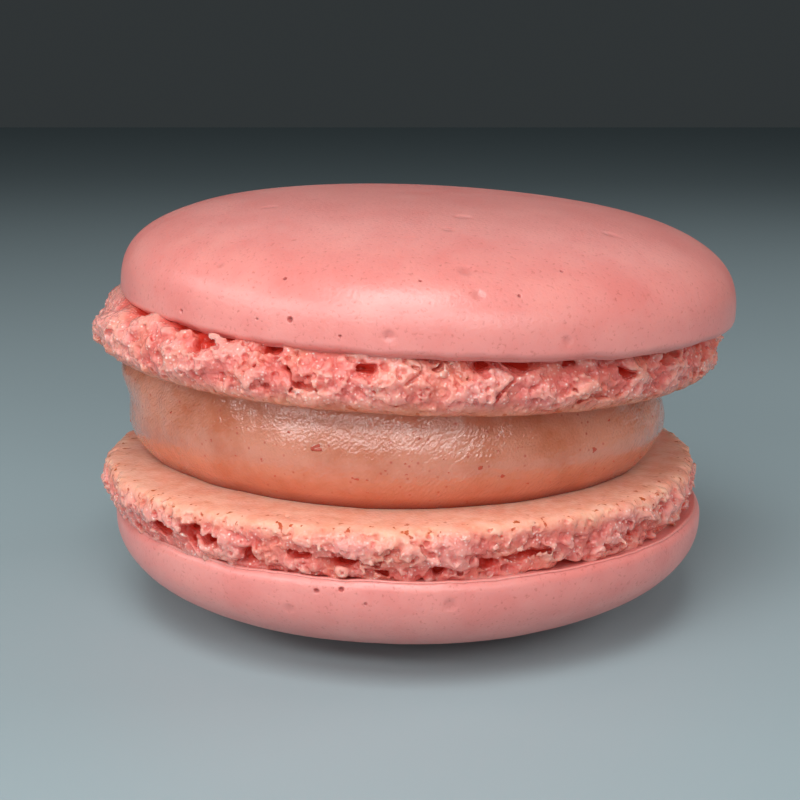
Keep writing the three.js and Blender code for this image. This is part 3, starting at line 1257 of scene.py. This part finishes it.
@dataclass
class BerryFlecks:
    """Flecks of berry skin that lie in the buttercream's surface.

    Args:
        centre: The buttercream's middle on the lower shell's base, in mm, in the row frame.
        flecks: The large ones.
    """

    centre: Vector
    flecks: tuple[Fleck, ...]
    fine: int = 130
    width: float = 0.55  # of a fleck, as a share of its length
    thickness: float = 0.14
    ragged: float = 0.22  # how far its edge strays, as a share of its length
    seed: int = 5

    def build(self, cream: bpy.types.Object, finish: bpy.types.Material) -> None:
        """Builds and dresses the flecks.

        Args:
            cream: The buttercream.
            finish: The flecks' finish.
        """
        vertices = [vert.co for vert in cream.data.vertices]
        surface = BVHTree.FromPolygons(vertices, [face.vertices[:] for face in cream.data.polygons])
        rng = np.random.default_rng(self.seed)
        noise.seed_set(self.seed)  # without it noise_vector differs from run to run
        scattered = [
            Fleck(rng.uniform(-180, 180), 0.6 + 4.4 * rng.random() ** 1.3, 0.1 + 0.25 * rng.random() ** 3)
            for _ in range(self.fine)
        ]
        shape = bmesh.new()
        for fleck in (*self.flecks, *scattered):
            turn = math.radians(fleck.azimuth)
            away = Vector((math.sin(turn), -math.cos(turn), 0))
            start = self.centre + Vector((0, 0, fleck.level)) + away * 30
            spot, normal, _, _ = surface.ray_cast(start * MM, -away)
            if spot is None:
                continue
            lie = Matrix.Translation(spot / MM) @ normal.to_track_quat("Z", "Y").to_matrix().to_4x4()
            flat = Matrix.Diagonal((1, self.width, self.thickness, 1))
            lie @= Matrix.Rotation(rng.uniform(-0.6, 0.6), 4, "Z") @ flat
            made = bmesh.ops.create_icosphere(shape, subdivisions=2, radius=fleck.size / 2, matrix=lie)
            for vert in made["verts"]:
                vert.co += noise.noise_vector(vert.co / (0.4 * fleck.size)) * self.ragged * fleck.size
        mesh = mesh_from(shape, "berry_flecks", Matrix.Scale(MM, 4))
        new_piece("berry_flecks", mesh, finish)


@dataclass(frozen=True)
class SoftBox:
    """A soft box aimed at the macaron.

    Args:
        name: Its name.
        azimuth, elevation: Where it stands, seen from the macaron, in degrees.
        distance: How far off, in mm.
        width, height: Its sides, in mm.
        power: Its power, in watts.
        shiny: Whether glossy surfaces mirror it.
    """

    name: str
    azimuth: float
    elevation: float
    distance: float
    width: float
    height: float
    power: float
    shiny: bool = True

    def build(self, target: Vector) -> None:
        """Adds it to the scene.

        Args:
            target: The point that it is aimed at, in mm.
        """
        lamp = bpy.data.lights.new(self.name, "AREA")
        lamp.shape = "RECTANGLE"
        lamp.size = self.width * MM
        lamp.size_y = self.height * MM
        lamp.energy = self.power
        light = bpy.data.objects.new(self.name, lamp)
        light.visible_glossy = self.shiny
        bpy.context.scene.collection.objects.link(light)
        turn, rise = math.radians(self.azimuth), math.radians(self.elevation)
        away = Vector((math.sin(turn) * math.cos(rise), -math.cos(turn) * math.cos(rise), math.sin(rise)))
        light.location = (target + away * self.distance) * MM
        light.rotation_euler = away.to_track_quat("Z", "Y").to_euler()


@dataclass
class Studio:
    """The floor, the soft light and the camera.

    Args:
        target: The point that the camera looks at, in mm.
        boxes: The soft boxes.
    """

    target: Vector
    boxes: tuple[SoftBox, ...]
    elevation: float = 12.86
    distance: float = 115.12
    lens: float = 72.0
    sensor: float = 36.0
    clip: float = 0.005  # m, nearer than which the camera sees nothing
    floor: float = 600.0  # mm from the floor's middle to its edge
    air: str = "aab6ba"  # the light that comes from all round
    air_strength: float = 0.075

    def build(self, floor_finish: bpy.types.Material) -> None:
        """Sets up the studio.

        Args:
            floor_finish: The floor's finish.
        """
        shape = bmesh.new()
        bmesh.ops.create_grid(shape, x_segments=2, y_segments=2, size=self.floor)
        floor = bpy.data.objects.new("floor", mesh_from(shape, "floor", Matrix.Scale(MM, 4)))
        bpy.context.scene.collection.objects.link(floor)
        floor.data.materials.append(floor_finish)
        self.place_camera()
        for box in self.boxes:
            box.build(self.target)
        world = bpy.data.worlds.new("studio")
        bpy.context.scene.world = world
        world.use_nodes = True
        background = world.node_tree.nodes["Background"]
        background.inputs["Color"].default_value = linear(self.air)
        background.inputs["Strength"].default_value = self.air_strength
        bpy.context.scene.view_settings.view_transform = "Standard"

    def place_camera(self) -> None:
        """Adds the camera, upright and looking down a little."""
        camera = bpy.data.objects.new("camera", bpy.data.cameras.new("camera"))
        bpy.context.scene.collection.objects.link(camera)
        tilt = math.radians(self.elevation)
        back = Vector((0, -math.cos(tilt), math.sin(tilt))) * self.distance
        camera.location = (self.target + back) * MM
        camera.rotation_euler = (math.pi / 2 - tilt, 0, 0)
        camera.data.lens = self.lens
        camera.data.sensor_width = self.sensor
        camera.data.clip_start = self.clip
        bpy.context.scene.camera = camera


# ---------------------------------------------------------------- assembly

UPPER_FOOT = FootSizes(
    21.55, 0.55, 3.6, rim=0.9, crease=0.9, shoulder=0.5, gap=-0.55, gap_swing=1.0, crust=0.85
)
UPPER_CAP = CapSizes(21.5, 1.5, 7.65, 0.6, 0.8, 2.6, 2.86)
UPPER_SWELLS = (Swell(-92, 40, 0.35), Swell(86, 34, 0.5), Swell(20, 50, -0.1))
UPPER_EARS = (Swell(-86, 34, 1.0),)
UPPER_HOLES = (
    Hole(-36.5, 3.4, 2.5, 1.8, 1.8),
    Hole(-23.0, 3.55, 2.8, 1.1, 1.7),
    Hole(-18.0, 1.9, 3.9, 0.45, 1.2, -0.33),
    Hole(-6.5, 2.8, 1.4, 0.8, 1.4),
    Hole(0.5, 3.1, 0.7, 0.4, 1.0),
    Hole(4.5, 3.1, 0.7, 0.4, 1.0),
    Hole(11.8, 3.1, 1.4, 0.8, 1.5),
    Hole(18.5, 3.2, 1.9, 0.6, 1.5),
    Hole(28.5, 3.2, 1.7, 0.6, 1.4),
    Hole(40.5, 2.3, 1.6, 0.8, 1.4),
    Hole(52.0, 3.0, 1.6, 1.0, 1.3),
)
LOWER_FOOT = FootSizes(
    20.95, 0.32, 3.35, rim=0.15, crease=0.75, shoulder=0.7, gap=-0.15, gap_swing=1.1, crust=0.85
)
LOWER_CAP = CapSizes(21.0, 0.5, 7.5, 0.7, 0.45, 2.42, 2.42)
LOWER_SWELLS = (Swell(88, 35, -0.05), Swell(-10, 45, 0.1))
LOWER_HOLES = (
    Hole(-48.0, 2.0, 2.1, 1.1, 1.2),
    Hole(-37.0, 1.8, 3.6, 1.5, 1.8, 0.1),
    Hole(-27.0, 2.4, 1.2, 1.2, 1.6),
    Hole(-17.0, 1.9, 1.2, 0.7, 1.2),
    Hole(-9.6, 2.1, 2.5, 0.8, 1.5),
    Hole(-3.5, 2.9, 1.6, 0.6, 1.2),
    Hole(6.8, 2.8, 2.0, 0.8, 1.6),
    Hole(15.8, 2.4, 1.0, 0.7, 1.3),
    Hole(23.0, 2.1, 3.0, 0.6, 1.2),
    Hole(46.0, 2.2, 1.4, 0.6, 1.0),
)
UPPER_DENTS = (
    Dent(-7.4, -18.4, 7.6, 0.3, 0.14),
    Dent(-6.9, -19.8, 5.4, 0.42, 0.2),
    Dent(-13.9, -14.8, 4.7, 0.34, 0.16),
    Dent(-3.9, -20.9, 4.7, 0.24, 0.1),
    Dent(0.6, -20.1, 8.0, 0.24, 0.1),
    Dent(9.0, -17.7, 8.6, 0.3, 0.12),
    Dent(6.4, -20.1, 7.4, 0.26, 0.1),
    Dent(-8.9, -18.7, 5.2, 0.2, 0.08),
    Dent(3.3, -10.6, 10.8, 1.5, 0.06),
    Dent(3.1, -19.1, 8.7, 1.2, 0.07),
    Dent(4.1, -20.5, 7.4, 0.9, 0.05),
    Dent(-1.0, -21.4, 5.0, 0.9, 0.1),
    Dent(-9.4, -7.1, 10.5, 1.3, 0.05),
    Dent(2.4, -13.8, 10.4, 1.1, 0.04),
    Dent(12.9, -10.3, 10.1, 1.3, 0.05),
    Dent(9.3, -20.1, 4.9, 0.8, 0.06),
    Dent(-11.6, -15.3, 7.8, 0.7, 0.04),
)
LOWER_DENTS = (
    Dent(-5.2, -20.3, 4.0, 0.4, 0.2),
    Dent(-3.7, -20.6, 3.8, 0.4, 0.2),
    Dent(3.0, -20.9, 4.6, 1.1, 0.06),
    Dent(-6.8, -19.5, 5.5, 0.9, 0.05),
)
FLECKS = (
    Fleck(-16.9, 4.0, 0.8),
    Fleck(41.8, 3.0, 0.5),
    Fleck(15.2, 2.9, 0.4),
    Fleck(3.3, 4.8, 0.25),
    Fleck(-9.0, 2.2, 0.3),
    Fleck(20.0, 2.2, 0.4),
)
CREAM_HEIGHT = 6.9
UPPER_LEAN = 2.6
UPPER_SHIFT = -0.3
LOWER_SHIFT = -0.5
CREAM_SHIFT = Vector((-0.35, 0.32, 0))
AIM = Vector((-0.52, 0, 14.08))  # where the camera looks, from the stack's axis on the table
SOFT_BOXES = (
    SoftBox("lamp", -12, 55, 220, 110, 110, 0.26),
    SoftBox("window", -14, 30, 220, 440, 38, 0.3),
    SoftBox("sill", -20, 16, 220, 420, 24, 0.14),
    SoftBox("right_wall", 100, 20, 260, 160, 120, 0.2, shiny=False),
    SoftBox("left_wall", -80, 27, 260, 200, 70, 0.12),
    SoftBox("back_wall", 172, 38, 260, 260, 100, 0.03),
)


def stack_axis(node: bpy.types.Object) -> Vector:
    """Finds the stack's axis from the small flat that the lower shell lies on.

    Args:
        node: The lower shell's CAD node.

    Returns:
        The middle of that flat, in mm.
    """
    resting = [v.co for v in node.data.vertices if v.co.z < SEATED]
    return sum(resting, Vector()) / len(resting) / MM


def main() -> None:
    """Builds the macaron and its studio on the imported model."""
    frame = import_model()
    axis = stack_axis(frame["nodes"]["lower_shell"])
    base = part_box("lower_shell")[1].z / MM  # the lower shell's flat base

    skin = BakedSkin().make()
    froth = TornFroth().make()
    # a darker crust for the upper foot, whose edge faces down: partly browner baking, partly painted shade
    browned = TornFroth(name="torn_meringue_froth_browned_and_shaded", crust="df9276", toast="c8785e").make()
    scale = Matrix.Scale(MM, 4)
    turned_over = Matrix.Translation(axis + Vector((LOWER_SHIFT, 0, base))) @ Matrix.Scale(-1, 4, (0, 0, 1))
    leaning = Matrix.Translation(axis + Vector((UPPER_SHIFT, 0, base + CREAM_HEIGHT)))
    leaning @= Matrix.Rotation(math.radians(UPPER_LEAN), 4, "Y")
    Shell(
        name="lower",
        place=scale @ turned_over,
        foot=LOWER_FOOT,
        cap=LOWER_CAP,
        swells=LOWER_SWELLS,
        ears=(),
        holes=LOWER_HOLES,
        dents=LOWER_DENTS,
        seed=47,
        blobs=90,
    ).build(skin, froth)
    Shell(
        name="upper",
        place=scale @ leaning,
        foot=UPPER_FOOT,
        cap=UPPER_CAP,
        swells=UPPER_SWELLS,
        ears=UPPER_EARS,
        holes=UPPER_HOLES,
        dents=UPPER_DENTS,
        seed=11,
    ).build(skin, browned)
    middle = axis + CREAM_SHIFT + Vector((0, 0, base))
    filling = Buttercream(middle, CREAM_HEIGHT, UPPER_LEAN, UPPER_SHIFT - CREAM_SHIFT.x)
    cream = filling.build(WhippedButtercream().make())
    BerryFlecks(middle, FLECKS).build(cream, BerrySkin().make())

    Studio(axis + AIM, SOFT_BOXES).build(PaleLaminate().make())


if __name__ == "__main__":
    logging.basicConfig(level=logging.INFO)
    main()
